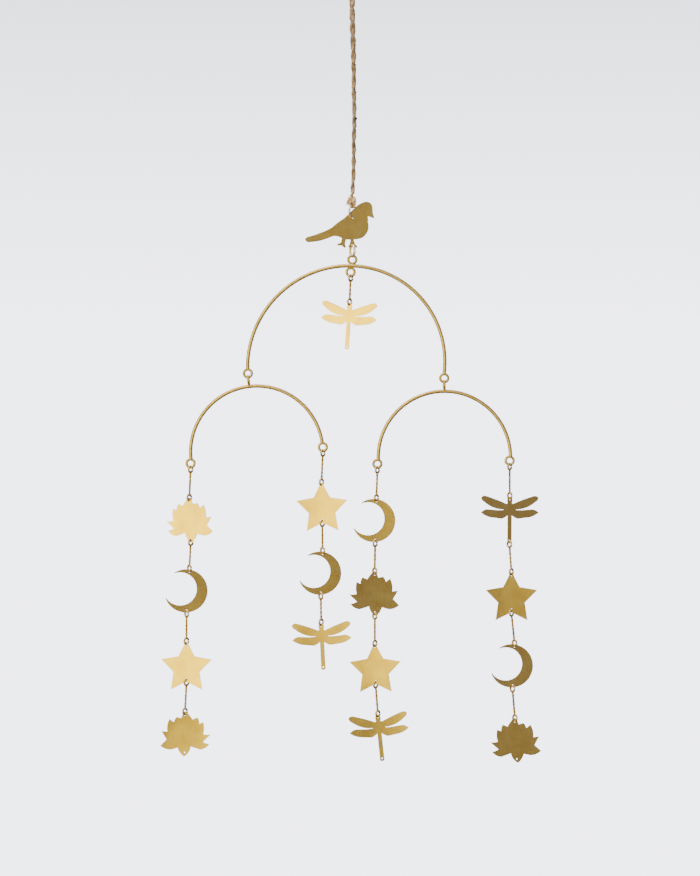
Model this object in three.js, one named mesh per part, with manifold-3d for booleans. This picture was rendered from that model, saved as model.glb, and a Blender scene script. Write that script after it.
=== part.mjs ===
// A brass hanging mobile: a bird on jute twine carries three wire arches and five strands of cut plates.
// Millimetres, +Z up, seen from -Y. The origin is where a hook holds the twine's top loop.
import * as THREE from "three";
import { mergeVertices } from "three/addons/utils/BufferGeometryUtils.js";
import Module from "manifold-3d";

const wasm = await Module();
wasm.setup();

// Wires, rings and sheet.
const archWire = 2.4;
const ringWire = 1.35;
const ringRadius = 3.45; // of the rings brazed to the arches, to the middle of the wire
const jumpWire = 1;
const jumpRadius = 2.6;
const linkWire = 1.05;
const linkRadius = 4.85; // of the two large links above and below the bird
const brazing = 0.3; // how far a brazed ring sinks into the arch
const plateThickness = 0.6;
const holeRadius = 0.95;
const footHoleRadius = 0.8;
const play = 0.05; // air between pieces that bear on each other

// Fine chain: flat links, each turned a quarter from the last.
const linkPitch = 1.72;
const linkHalfWidth = 0.68;
const linkHalfThickness = 0.24;

// Twine.
const twineDiameter = 3;
const eyeTwine = 2; // the twine where it is pulled tight round the bird's link
const loopHeight = 21; // hanging loop, from its bearing point to its knot
const loopHalfWidth = 6;
const upperKnotZ = -24;
const lowerKnotZ = -208;
const eyeRadius = 2; // of the eye in the twine that holds the link, to the middle of the twine
// The taut twine's way from knot to knot, as [x, z].
const twineRoute = [
  [0, -28.6], [0, -40], [0.1, -52], [0.3, -64], [0.6, -76], [1.1, -88], [1.3, -100], [1.4, -112],
  [1.5, -124], [1.9, -136], [1.8, -148], [1.5, -160], [1.5, -172], [1.3, -184], [0.9, -194], [0.5, -203.2],
];

// Bird: where its back hole hangs, and its foot hole from there.
const birdHole = new THREE.Vector3(0.6, 0, -222.3);
const birdFoot = [-0.3, -21.3];
const birdTurn = -3;

// Arches: radius, half of the bent angle, tilt (top to the right), how far round the arch its hanging
// ring sits from the middle, how much the bend swells on the right and flattens on the left, and how
// far to the right the two end rings sit off the wire's ends. Angles are in degrees.
const archLarge = {
  radius: 78.8, half: 94.2, tilt: 1.4, hang: 2, swell: 1.1, ringTurn: 0, endShift: [0, 0.4],
};
const archLeft = {
  radius: 52.9, half: 88.9, tilt: -7, hang: 0.4, swell: 0, ringTurn: 90, endShift: [-0.7, 0],
};
const archRight = {
  radius: 52.9, half: 90.4, tilt: -1.4, hang: 1.4, swell: 0, ringTurn: 90, endShift: [-0.9, -0.8],
};
const innerRingHang = 1.3; // the ring under the large arch, for the middle strand

// Plates of each strand, from the top: the drop from ring centre to ring centre of the chain above,
// its lean to the right, and the plate's tilt (top to the right) and turn (to the left) in degrees.
const strands = {
  middle: [{ shape: "dragonfly", drop: 19, lean: -2.4, tilt: 4, turn: 21 }],
  left_outer: [
    { shape: "lotus", drop: 22.6, lean: -2.5, tilt: -3.7, turn: 21, flipped: true },
    { shape: "moon", drop: 20.6, lean: -2.8, tilt: 5.5, turn: -4.5 },
    { shape: "star", drop: 21.7, lean: -0.4, tilt: -0.1, turn: 7 },
    { shape: "lotus", drop: 23.2, lean: -2.9, tilt: 1.8, turn: 2.5 },
  ],
  left_inner: [
    { shape: "star", drop: 23.2, lean: -2.7, tilt: -1.4, turn: 6 },
    { shape: "moon", drop: 21.6, lean: 0.6, tilt: 4, turn: -4 },
    { shape: "dragonfly", drop: 20.8, lean: 0.9, tilt: -3, turn: 3 },
  ],
  right_inner: [
    { shape: "moon", drop: 22.3, lean: -1.8, tilt: 3.3, turn: 0 },
    { shape: "lotus", drop: 22.1, lean: -0.9, tilt: -1.6, turn: -6, flipped: true },
    { shape: "star", drop: 21.9, lean: 0.1, tilt: -1.3, turn: 5 },
    { shape: "dragonfly", drop: 23.2, lean: 4.4, tilt: -6, turn: 2 },
  ],
  right_outer: [
    { shape: "dragonfly", drop: 23.2, lean: 0.3, tilt: 0.5, turn: -10 },
    { shape: "star", drop: 22, lean: 4, tilt: -0.2, turn: 1.5 },
    { shape: "moon", drop: 24.1, lean: 5.8, tilt: 4.4, turn: -5 },
    { shape: "lotus", drop: 23.4, lean: 4.8, tilt: -4.6, turn: -5, flipped: true },
  ],
};
const jumpTurn = 52; // a jump ring's turn away from the viewer
const backLinkTurn = 54; // turns of the two large links
const footLinkTurn = -68;

const brass = new THREE.MeshStandardMaterial({ color: 0xb8924a, roughness: 0.35, metalness: 1 });
const paleBrass = new THREE.MeshStandardMaterial({ color: 0xc9ab6a, roughness: 0.3, metalness: 1 });
const jute = new THREE.MeshStandardMaterial({ color: 0xa88860, roughness: 0.95, metalness: 0 });

const mobile = new THREE.Group();
const degrees = THREE.MathUtils.degToRad;

function addPiece(name, geometry, material, parent = mobile) {
  const mesh = new THREE.Mesh(geometry, material);
  mesh.name = name;
  parent.add(mesh);
  return mesh;
}

// Joins closed geometries into one.
function join(...geometries) {
  const solids = geometries.map((geometry) => {
    const bare = new THREE.BufferGeometry();
    bare.setAttribute("position", geometry.getAttribute("position"));
    if (geometry.index) bare.setIndex(geometry.index);
    const merged = mergeVertices(bare, 1e-4);
    return new wasm.Manifold(new wasm.Mesh({
      numProp: 3,
      vertProperties: merged.getAttribute("position").array,
      triVerts: new Uint32Array(merged.index.array),
    }));
  });
  const mesh = solids.reduce((whole, solid) => whole.add(solid)).getMesh();
  const joined = new THREE.BufferGeometry();
  joined.setAttribute("position", new THREE.BufferAttribute(mesh.vertProperties, 3));
  joined.setIndex(new THREE.BufferAttribute(mesh.triVerts, 1));
  joined.computeVertexNormals();
  return joined;
}

// A wire of round section along a curve.
function wireAlong(curve, diameter, sides, steps) {
  const section = new THREE.Shape();
  for (let i = 0; i < sides; i++) {
    const angle = (2 * Math.PI * i) / sides;
    const x = (diameter / 2) * Math.cos(angle);
    const y = (diameter / 2) * Math.sin(angle);
    if (i) section.lineTo(x, y);
    else section.moveTo(x, y);
  }
  section.closePath();
  return new THREE.ExtrudeGeometry(section, { steps, extrudePath: curve, bevelEnabled: false });
}

// An upright wire ring that faces the viewer, or is turned about its upright axis.
function ring(radius, wire, sides, steps, turn, centre) {
  return new THREE.TorusGeometry(radius, wire / 2, sides, steps)
    .rotateX(Math.PI / 2)
    .rotateZ(degrees(turn))
    .translate(centre.x, centre.y, centre.z);
}

// A closed outline from [x, z, bulge] corners: the edge after a corner swells out by its bulge.
function outline(corners) {
  const shape = new THREE.Shape();
  shape.moveTo(corners[0][0], corners[0][1]);
  corners.forEach(([x, z, bulge = 0], i) => {
    const [nextX, nextZ] = corners[(i + 1) % corners.length];
    if (!bulge) {
      shape.lineTo(nextX, nextZ);
      return;
    }
    const length = Math.hypot(nextX - x, nextZ - z);
    const middleX = (x + nextX) / 2 + (2 * bulge * (nextZ - z)) / length;
    const middleZ = (z + nextZ) / 2 - (2 * bulge * (nextX - x)) / length;
    shape.quadraticCurveTo(middleX, middleZ, nextX, nextZ);
  });
  return shape;
}

function mirrored(corners) {
  // The left half of a symmetric outline: the same corners backwards, each edge's bulge kept.
  return corners
    .map(([x, z], i) => [-x, z, i ? corners[i - 1][2] : 0])
    .reverse();
}

// Sheet metal cut to an outline, upright in the XZ plane, with its top hole at the origin.
function plate({ corners, holes }) {
  const shape = outline(corners);
  for (const [x, z, radius = holeRadius] of holes) {
    const hole = new THREE.Path();
    const corner = radius / Math.cos(Math.PI / 6); // six sides round the true hole
    for (let i = 0; i < 6; i++) {
      const angle = (Math.PI * i) / 3;
      const point = [x + corner * Math.cos(angle), z + corner * Math.sin(angle)];
      if (i) hole.lineTo(...point);
      else hole.moveTo(...point);
    }
    hole.closePath();
    shape.holes.push(hole);
  }
  const settings = { depth: plateThickness, bevelEnabled: false, curveSegments: 2 };
  return new THREE.ExtrudeGeometry(shape, settings)
    .rotateX(Math.PI / 2)
    .translate(-holes[0][0], plateThickness / 2, -holes[0][1]);
}

function starPlate() {
  const tipRadius = 20.9;
  const innerRadius = 10.8;
  const eyeRound = 1.7;
  const corners = [];
  for (let i = 0; i < 10; i++) {
    const angle = degrees(90 + 36 * i);
    const radius = i % 2 ? innerRadius : tipRadius;
    corners.push([radius * Math.cos(angle), radius * Math.sin(angle)]);
  }
  const shoulder = tipRadius - 2.4; // the top tip is rounded off round its hole
  corners.splice(0, 1, [-eyeRound * 0.62, shoulder + 1.4], [-eyeRound, shoulder - 0.6]);
  corners.push([eyeRound, shoulder - 0.6], [eyeRound * 0.62, shoulder + 1.4, 0.35]);
  return { corners, holes: [[0, tipRadius - 2.6], [0, 2 - innerRadius]] };
}

function moonPlate() {
  const outer = 17;
  const inner = 13.55;
  const innerX = -4.76;
  const innerZ = 1.16;
  const steps = 12;
  const apart = Math.hypot(innerX, innerZ);
  const along = (apart ** 2 + outer ** 2 - inner ** 2) / (2 * apart);
  const opening = Math.atan2(innerZ, innerX);
  const halfOuter = Math.acos(along / outer) + 0.02; // the horn tips are cut blunt
  const halfInner = Math.acos((along - apart) / inner) + 0.02;
  const corners = [];
  for (let i = 0; i <= steps; i++) {
    const angle = opening + halfOuter + ((2 * Math.PI - 2 * halfOuter) * i) / steps;
    corners.push([outer * Math.cos(angle), outer * Math.sin(angle)]);
  }
  for (let i = 0; i <= steps; i++) {
    const angle = opening - halfInner - ((2 * Math.PI - 2 * halfInner) * i) / steps;
    corners.push([innerX + inner * Math.cos(angle), innerZ + inner * Math.sin(angle)]);
  }
  return { corners, holes: [[1.3, 15.3], [2, -15.3]] };
}

function lotusPlate() {
  // Anticlockwise from the bottom tip: up the wide side, over the top and down the narrow one.
  const corners = [
    [0.3, 0, 0.5], [4.1, 4.8], [4.8, 7.8], [12.7, 5.6, 0.9], [19.3, 9.6, -0.3],
    [14.1, 11.3], [19.8, 17.1, -0.3], [14.3, 17.4, 0.7], [14.2, 26.8], [10.9, 25, 0.6],
    [9.5, 30.4], [5.8, 28.6, 0.2], [1, 34.5, 0.4], [-1, 34.5, 0.2], [-2.9, 29.6],
    [-6.8, 30.4, 0.5], [-8.6, 25.8], [-12.4, 28.5, 0.9], [-13.5, 18.4], [-18, 18.7],
    [-14, 12.5], [-18.7, 7.5, 0.9], [-10.4, 4.9], [-5.2, 6.6], [-4.4, 4.8, 0.4],
    [-0.5, 0],
  ];
  return { corners, holes: [[-0.25, 32.4], [0.5, 2.5]] };
}

function dragonflyPlate() {
  const tailEnd = -34.9;
  const rightSide = [
    [1.4, tailEnd + 0.6], [1.4, -12.8], [1.9, -12.5, 0.3], [6.6, -15.2], [16.2, -14, 0.4],
    [23.2, -10.5, 0.4], [18.8, -8.2], [10.1, -8.9], [4.8, -8.8], [4.8, -7.7],
    [8.8, -7.5, 1], [21.1, -1.5, 0.5], [23.2, 1.4, 0.6], [19.5, 2.4, 0.3], [2.5, -4], [1.4, -3.1],
    [1.8, -1.2], [1.2, 1.75],
  ];
  const corners = [[0, tailEnd], ...rightSide, ...mirrored(rightSide)];
  return { corners, holes: [[0, 0], [0, -32.9]] };
}

function birdPlate() {
  // Anticlockwise from the beak, from the back hole.
  const corners = [
    [16.9, 0.1], [15.8, 4], [15.6, 8.3, 0.4], [13.5, 12, 0.2], [10.6, 12.7, 0.5],
    [3.7, 9.5, 0.1], [-6.5, -0.4, 0.3], [-16.7, -8.1, -0.3], [-26.9, -12.7, -0.2], [-36.1, -15.7, 0.1],
    [-37.9, -17.2, 0.3], [-36.1, -19.3, 0.2], [-26.9, -18.3, 0.2], [-17.8, -15.2, -0.3], [-13.7, -14.3, -0.4],
    [-8.3, -16.2], [-9.1, -20], [-12.1, -21.2, 0.3], [-11.6, -21.8], [-8.4, -21.9],
    [-6.7, -23.7, 0.2], [-5.9, -23.1], [-6.5, -20.6], [-5.8, -17.2, -0.2], [-1.4, -17.3],
    [-1.5, -18.9, 0.2], [-2, -21.2], [-3.2, -22.6, 0.2], [-2.6, -23.4], [-0.5, -23],
    [0.8, -23], [2.6, -23.4, 0.2], [3.2, -22.9], [1.4, -20.8, 0.2], [0.6, -18.9],
    [0.5, -17, 0.2], [6.7, -16, 0.6], [11.6, -10.9, 0.7], [11.8, -3.2, 0.3], [11.6, 1.6],
    [13.4, 1.4],
  ];
  return { corners, holes: [[0, 0], [...birdFoot, footHoleRadius]] };
}

const plates = {
  star: starPlate(),
  moon: moonPlate(),
  lotus: lotusPlate(),
  dragonfly: dragonflyPlate(),
};

// A fine chain with a jump ring at each end, along the line from one ring centre to the other.
function chain(from, to, ringTurns) {
  const run = new THREE.Vector3().subVectors(to, from);
  const length = run.length() - 2 * jumpRadius;
  const links = Math.round(length / linkPitch);
  const start = from.clone().addScaledVector(run, jumpRadius / run.length());
  const stations = [];
  for (let i = 0; i <= links + 1; i++) {
    const isEnd = i === 0 || i === links + 1;
    const wide = isEnd ? linkHalfThickness : linkHalfWidth;
    const middle = isEnd ? i / (links + 1) : (i - 0.5) / links;
    const centre = start.clone().addScaledVector(run, (length * middle) / run.length());
    const sizes = i % 2 ? [wide, linkHalfThickness] : [linkHalfThickness, wide];
    stations.push({ centre, halfX: sizes[0], halfY: sizes[1] });
  }
  const rings = [from, to].map((centre, i) => ring(jumpRadius, jumpWire, 3, 8, ringTurns[i], centre));
  return join(diamondLoft(stations), ...rings);
}

// Four-sided solid through diamond sections, listed from the top down.
function diamondLoft(stations) {
  const points = stations.flatMap(({ centre, halfX, halfY }) => [
    [centre.x + halfX, centre.y, centre.z],
    [centre.x, centre.y + halfY, centre.z],
    [centre.x - halfX, centre.y, centre.z],
    [centre.x, centre.y - halfY, centre.z],
  ]);
  const faces = [[0, 1, 2], [0, 2, 3]];
  for (let i = 0; i + 1 < stations.length; i++) {
    for (let k = 0; k < 4; k++) {
      const [a, b] = [4 * i + k, 4 * i + ((k + 1) % 4)];
      faces.push([a, a + 4, b], [b, a + 4, b + 4]);
    }
  }
  const last = points.length - 4;
  faces.push([last, last + 2, last + 1], [last, last + 3, last + 2]);
  const geometry = new THREE.BufferGeometry();
  geometry.setAttribute("position", new THREE.Float32BufferAttribute(points.flat(), 3));
  geometry.setIndex(faces.flat());
  return geometry;
}

// A wire arch that hangs from the top of its own ring, at the group's origin.
function arch(name, sizes, hangPoint, hasInnerRing) {
  const { radius, half, tilt, hang, swell, ringTurn, endShift } = sizes;
  const group = new THREE.Group();
  group.position.copy(hangPoint);
  group.rotation.y = degrees(tilt);
  mobile.add(group);
  const ringReach = ringRadius + ringWire / 2 + archWire / 2 - brazing;
  const crown = new THREE.Vector3(0, 0, -ringRadius - ringReach);
  const centre = crown.clone().add(
    new THREE.Vector3(-radius * Math.sin(degrees(hang)), 0, -radius * Math.cos(degrees(hang))),
  );
  const onArch = (angle, inwards = 0) => {
    const reach = radius + swell * Math.sin(degrees(2 * angle)) - inwards;
    const turned = degrees(angle);
    return new THREE.Vector3(reach * Math.sin(turned), 0, reach * Math.cos(turned)).add(centre);
  };
  const curve = new THREE.Curve();
  curve.getPoint = (t) => onArch(half * (2 * t - 1));
  const ends = [-1, 1].map((side, i) => {
    const along = new THREE.Vector3(side * Math.cos(degrees(half)), 0, -Math.sin(degrees(half)));
    const end = onArch(side * half).addScaledVector(along, ringRadius);
    return end.add(new THREE.Vector3(endShift[i], 0, 0));
  });
  const rings = [
    ring(ringRadius, ringWire, 3, 12, ringTurn, new THREE.Vector3(0, 0, -ringRadius)),
    ...ends.map((end) => ring(ringRadius, ringWire, 3, 12, 0, end)),
  ];
  if (hasInnerRing) {
    rings.push(ring(ringRadius, ringWire, 3, 12, 0, onArch(innerRingHang, ringReach)));
  }
  const steps = Math.round(radius / 3.3);
  addPiece(name, join(wireAlong(curve, archWire, 6, steps), ...rings), brass, group);
  group.updateMatrixWorld(true);
  return {
    leftEnd: group.localToWorld(ends[0].clone()),
    rightEnd: group.localToWorld(ends[1].clone()),
    innerRing: group.localToWorld(onArch(innerRingHang, ringReach)),
  };
}

// The turn of a jump ring, so that it crosses its plate well.
function across(plateTurn) {
  return plateTurn < 0 ? -jumpTurn : jumpTurn;
}

// Hangs a strand of chains and plates from the centre of a brazed ring.
function hangStrand(strandName, ringCentre) {
  const fromRing = ringRadius - ringWire / 2 + jumpRadius - jumpWire / 2 - play;
  const fromHole = jumpRadius - jumpWire / 2 + holeRadius - play;
  let start = ringCentre.clone();
  let reach = fromRing;
  let turnAbove = 0;
  strands[strandName].forEach(({ shape, drop, lean, tilt, turn, flipped = false }, i) => {
    const top = start.clone().add(new THREE.Vector3(0, 0, -reach));
    const along = new THREE.Vector3(Math.sin(degrees(lean)), 0, -Math.cos(degrees(lean)));
    const bottom = top.clone().addScaledVector(along, drop);
    const ringTurns = [across(turnAbove), across(turn)];
    addPiece(`chain_${strandName}_${i + 1}`, chain(top, bottom, ringTurns), paleBrass);
    const geometry = plate(plates[shape]);
    if (flipped) geometry.rotateZ(Math.PI);
    const mesh = addPiece(`${shape}_${strandName}_${i + 1}`, geometry, brass);
    mesh.position.copy(bottom).add(new THREE.Vector3(0, 0, -fromHole));
    mesh.rotation.set(0, degrees(tilt), degrees(-turn), "ZYX");
    mesh.updateMatrixWorld(true);
    const [[topX, topZ], [lowX, lowZ]] = plates[shape].holes;
    const lowerHole = new THREE.Vector3((flipped ? -1 : 1) * (lowX - topX), 0, lowZ - topZ);
    start = mesh.localToWorld(lowerHole);
    reach = fromHole;
    turnAbove = turn;
  });
}

// The twine with its knots, and the loop that hangs on a hook at the origin.
function addTwine() {
  const route = twineRoute.map(([x, z]) => new THREE.Vector3(x, 0, z));
  const twine = wireAlong(new THREE.CatmullRomCurve3(route), twineDiameter, 8, 17);
  addPiece("jute_cord", twine, jute);

  const eyeTop = twineDiameter / 2;
  const loopPoints = [[0.8, -loopHeight], [3.6, -16], [loopHalfWidth, -8], [4.4, -1.6], [0, eyeTop]];
  const loopRoute = [...loopPoints, ...loopPoints.slice(0, -1).map(([x, z]) => [-x, z]).reverse()];
  const loopCurve = new THREE.CatmullRomCurve3(loopRoute.map(([x, z]) => new THREE.Vector3(x, 0, z)));
  const loop = wireAlong(loopCurve, twineDiameter, 6, 14);
  addPiece("hanging_loop", join(loop, ...knot(0, upperKnotZ)), jute);

  const eyeZ = birdHole.z + holeRadius - linkWire / 2 - play + 2 * linkRadius;
  const eyeCentre = new THREE.Vector3(
    birdHole.x, 0, eyeZ - linkWire / 2 - play - eyeTwine / 2 + eyeRadius,
  );
  const eye = ring(eyeRadius, eyeTwine, 5, 10, backLinkTurn - 90, eyeCentre);
  addPiece("lower_knot", join(eye, ...knot(0.3, lowerKnotZ)), jute);
}

// A knot as its two crossing turns round the standing twine.
function knot(x, z) {
  const turns = [-22, 20].map((slope, i) =>
    new THREE.TorusGeometry(1.9, 1.55, 5, 7)
      .rotateY(degrees(slope))
      .translate(x, 0, z + 1.5 - 2.6 * i));
  const core = new THREE.CylinderGeometry(1.9, 1.5, 7, 6)
    .rotateX(Math.PI / 2)
    .translate(x, 0, z + 0.1);
  return [core, ...turns];
}

// The links above and below the bird; the large arch hangs from the returned point.
function addBird() {
  const backZ = birdHole.z + holeRadius - linkWire / 2 - play;
  const backCentre = new THREE.Vector3(birdHole.x, 0, backZ + linkRadius);
  addPiece("back_link", ring(linkRadius, linkWire, 3, 12, backLinkTurn, backCentre), paleBrass);

  const bird = addPiece("bird", plate(birdPlate()), brass);
  bird.position.copy(birdHole);
  bird.rotation.z = degrees(-birdTurn);
  bird.updateMatrixWorld(true);

  const foot = bird.localToWorld(new THREE.Vector3(birdFoot[0], 0, birdFoot[1]));
  const footZ = foot.z - footHoleRadius + linkWire / 2 + play;
  const footCentre = new THREE.Vector3(foot.x, foot.y, footZ - linkRadius);
  addPiece("foot_link", ring(linkRadius, linkWire, 3, 12, footLinkTurn, footCentre), paleBrass);
  const archRise = linkWire / 2 + ringWire / 2 + play;
  return new THREE.Vector3(foot.x, 0, footCentre.z - linkRadius + archRise);
}

addTwine();
const hangPoint = addBird();
const large = arch("arch_large", archLarge, hangPoint, true);
const smallDrop = new THREE.Vector3(0, 0, ringWire + play - ringRadius);
const left = arch("arch_left", archLeft, large.leftEnd.clone().add(smallDrop), false);
const right = arch("arch_right", archRight, large.rightEnd.clone().add(smallDrop), false);
hangStrand("middle", large.innerRing);
hangStrand("left_outer", left.leftEnd);
hangStrand("left_inner", left.rightEnd);
hangStrand("right_inner", right.leftEnd);
hangStrand("right_outer", right.rightEnd);

export default mobile;
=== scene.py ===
# A brass hanging mobile: a bird on jute twine, three wire arches and five strands of cut plates.
# Sizes are in millimetres and angles in degrees. Each mesh turns to metres as it is made.
import math
import random

import bmesh
import bpy
from mathutils import Matrix, Vector, noise


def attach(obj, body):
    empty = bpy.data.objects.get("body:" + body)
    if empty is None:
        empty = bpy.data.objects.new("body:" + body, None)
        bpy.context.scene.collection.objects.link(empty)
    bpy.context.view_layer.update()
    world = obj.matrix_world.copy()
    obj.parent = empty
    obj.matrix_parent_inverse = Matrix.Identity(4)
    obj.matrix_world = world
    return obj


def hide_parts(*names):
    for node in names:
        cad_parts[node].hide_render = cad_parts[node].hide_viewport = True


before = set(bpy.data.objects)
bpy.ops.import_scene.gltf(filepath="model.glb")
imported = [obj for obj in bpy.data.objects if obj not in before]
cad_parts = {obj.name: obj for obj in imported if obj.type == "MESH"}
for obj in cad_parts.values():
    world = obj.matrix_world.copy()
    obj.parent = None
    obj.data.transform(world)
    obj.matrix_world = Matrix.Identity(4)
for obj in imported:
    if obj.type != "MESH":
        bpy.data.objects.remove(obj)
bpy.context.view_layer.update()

metre = 0.001
fullTurn = 2 * math.pi
smallest = 1e-9  # a length that counts as nothing

# View.

cameraValues = {
    "middleX": -1.6,
    "middleZ": -398.4,
    "fieldHeight": 700.8,  # what the picture's height shows at the plates
    "lens": 100,
    "sensor": 36,
}


def makeCamera(values):
    camera = bpy.data.cameras.new("camera")
    camera.lens = values["lens"]
    camera.sensor_width = values["sensor"]
    distance = values["fieldHeight"] * values["lens"] / values["sensor"]
    holder = bpy.data.objects.new("camera", camera)
    holder.location = Vector((values["middleX"], -distance, values["middleZ"])) * metre
    holder.rotation_euler = (math.radians(90), 0, 0)
    bpy.context.scene.collection.objects.link(holder)
    bpy.context.scene.camera = holder


makeCamera(cameraValues)
print("camera placed")

# Meshes.


class MeshParts:
    # Gathers points, faces, their materials and their UVs, and makes one object of them.
    def __init__(self):
        self.points = []
        self.faces = []
        self.slots = []
        self.uvs = []

    def tube(self, path, radii, sides, slot=0, closed=False, capped=True):
        # A round wire along a path, with one radius or one for each point. U runs along it in
        # millimetres, V once round it.
        frames = alongFrames(path, closed)
        base = len(self.points)
        count = len(path)
        travelled = [0.0]
        for i in range(1, count + (1 if closed else 0)):
            travelled.append(travelled[-1] + (path[i % count] - path[i - 1]).length)
        for i, (side, up) in enumerate(frames):
            radius = radii[i] if isinstance(radii, list) else radii
            for k in range(sides):
                angle = fullTurn * k / sides
                self.points.append(path[i] + radius * (math.cos(angle) * side + math.sin(angle) * up))
        for i in range(count if closed else count - 1):
            here, there = base + i * sides, base + ((i + 1) % count) * sides
            for k in range(sides):
                after = (k + 1) % sides
                self.faces.append((here + k, here + after, there + after, there + k))
                self.slots.append(slot)
                left, right = k / sides, (k + 1) / sides
                self.uvs.append([
                    (travelled[i], left), (travelled[i], right),
                    (travelled[i + 1], right), (travelled[i + 1], left),
                ])
        if capped and not closed:
            for first, turned in ((base, True), (base + (count - 1) * sides, False)):
                cap = [first + k for k in range(sides)]
                self.faces.append(tuple(reversed(cap)) if turned else tuple(cap))
                self.slots.append(slot)
                self.uvs.append([(0.0, 0.0)] * sides)

    def make(self, name, materials, sharpAngle=35):
        mesh = bpy.data.meshes.new(name)
        mesh.from_pydata([p * metre for p in self.points], [], self.faces)
        for material in materials:
            mesh.materials.append(material)
        uvLayer = mesh.uv_layers.new(name="alongAndRound")
        flat = [number for face in self.uvs for uv in face for number in uv]
        uvLayer.data.foreach_set("uv", flat)
        mesh.polygons.foreach_set("material_index", self.slots)
        return finishObject(name, mesh, sharpAngle)


def finishObject(name, mesh, sharpAngle):
    # Smooth shading, broken where two faces meet at more than the sharp angle.
    edited = bmesh.new()
    edited.from_mesh(mesh)
    for face in edited.faces:
        face.smooth = True
    for edge in edited.edges:
        if len(edge.link_faces) == 2 and edge.calc_face_angle(0) > math.radians(sharpAngle):
            edge.smooth = False
    edited.to_mesh(mesh)
    edited.free()
    piece = bpy.data.objects.new(name, mesh)
    bpy.context.scene.collection.objects.link(piece)
    return piece


def alongFrames(path, closed):
    # Two directions across the path at each point, carried along with no twist of their own.
    count = len(path)
    tangents = []
    for i in range(count):
        before = path[i - 1] if i or closed else path[0]
        after = path[(i + 1) % count] if i < count - 1 or closed else path[-1]
        tangents.append((after - before).normalized())
    runsAway = abs(tangents[0].y) > 0.9  # the path starts almost along the Y axis
    helper = Vector((1, 0, 0)) if runsAway else Vector((0, 1, 0))
    side = tangents[0].cross(helper).normalized()
    sides = [side]
    for i in range(1, count):
        side = side - tangents[i] * side.dot(tangents[i])
        side.normalize()
        sides.append(side)
    if closed:
        last = side - tangents[0] * side.dot(tangents[0])
        last.normalize()
        twist = math.atan2(last.cross(sides[0]).dot(tangents[0]), last.dot(sides[0]))
        sides = [
            Matrix.Rotation(twist * i / count, 3, tangents[i]) @ across
            for i, across in enumerate(sides)
        ]
    return [(across, tangents[i].cross(across)) for i, across in enumerate(sides)]


def smoothPath(points, spacing, closed=False):
    # A smooth curve through the points, in even steps. It is first cut finely, then evenly.
    fineSteps = 24
    count = len(points)
    dense = []
    for i in range(count if closed else count - 1):
        a = points[(i - 1) % count] if closed or i else points[0]
        b, c = points[i], points[(i + 1) % count]
        d = points[(i + 2) % count] if closed or i + 2 < count else points[-1]
        for k in range(fineSteps):
            t = k / fineSteps
            dense.append(0.5 * (
                2 * b + (c - a) * t + (2 * a - 5 * b + 4 * c - d) * t * t
                + (3 * b - a - 3 * c + d) * t ** 3
            ))
    dense.append((points[0] if closed else points[-1]).copy())
    lengths = [0.0]
    for i in range(1, len(dense)):
        lengths.append(lengths[-1] + (dense[i] - dense[i - 1]).length)
    steps = max(2, round(lengths[-1] / spacing))
    path, k = [], 0
    for i in range(steps + (0 if closed else 1)):
        wanted = lengths[-1] * i / steps
        while k < len(dense) - 2 and lengths[k + 1] < wanted:
            k += 1
        share = (wanted - lengths[k]) / max(lengths[k + 1] - lengths[k], smallest)
        path.append(dense[k].lerp(dense[k + 1], share))
    return path


def ringPath(radius, turn, centre, steps, gap=0.0):
    # An upright circle that faces the viewer, or is turned about its upright axis.
    way = Vector((math.cos(math.radians(turn)), math.sin(math.radians(turn)), 0))
    points = []
    for i in range(steps + (1 if gap else 0)):
        angle = math.radians(gap / 2) + (fullTurn - math.radians(gap)) * i / steps
        points.append(centre + radius * (way * math.cos(angle) + Vector((0, 0, math.sin(angle)))))
    return points


blobValues = {"rows": 7, "columns": 12, "uneven": 0.18, "lumps": 1.6}


def addBlob(parts, centre, size, slot, seed):
    # A small uneven lump.
    rows, columns = blobValues["rows"], blobValues["columns"]
    base = len(parts.points)
    for i in range(rows + 1):
        lift = math.pi * i / rows
        for k in range(columns):
            angle = fullTurn * k / columns
            way = Vector((
                math.sin(lift) * math.cos(angle), math.sin(lift) * math.sin(angle), math.cos(lift),
            ))
            dent = noise.noise(way * blobValues["lumps"] + Vector((seed, 0, 0)))
            reach = Vector((way.x * size[0], way.y * size[1], way.z * size[2]))
            parts.points.append(centre + reach * (1 + blobValues["uneven"] * dent))
    for i in range(rows):
        for k in range(columns):
            after = (k + 1) % columns
            here, there = base + i * columns, base + (i + 1) * columns
            parts.faces.append((here + k, there + k, there + after, here + after))
            parts.slots.append(slot)
            parts.uvs.append([(0.0, 0.0)] * 4)


def hand(piece, slotName, *nodes):
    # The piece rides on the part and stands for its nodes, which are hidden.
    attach(piece, "root")
    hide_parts(*nodes)
    return piece


# Materials.


def linear(hexColour):
    # An sRGB hex colour as Blender's linear one.
    channels = [int(hexColour[i:i + 2], 16) / 255 for i in (1, 3, 5)]
    return tuple(
        c / 12.92 if c <= 0.04045 else ((c + 0.055) / 1.055) ** 2.4 for c in channels
    ) + (1.0,)


def addNode(tree, kind, settings=None, values=None, links=None):
    # Adds a node. Stops are a colour ramp's own list of (position, colour).
    node = tree.nodes.new(kind)
    for name, setting in (settings or {}).items():
        if name == "stops":
            elements = node.color_ramp.elements
            for i, (position, colour) in enumerate(setting):
                element = elements[i] if i < len(elements) else elements.new(position)
                element.position = position
                element.color = colour
        else:
            setattr(node, name, setting)
    for socket, number in (values or {}).items():
        node.inputs[socket].default_value = number
    for socket, source in (links or {}).items():
        tree.links.new(source, node.inputs[socket])
    return node


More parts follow.
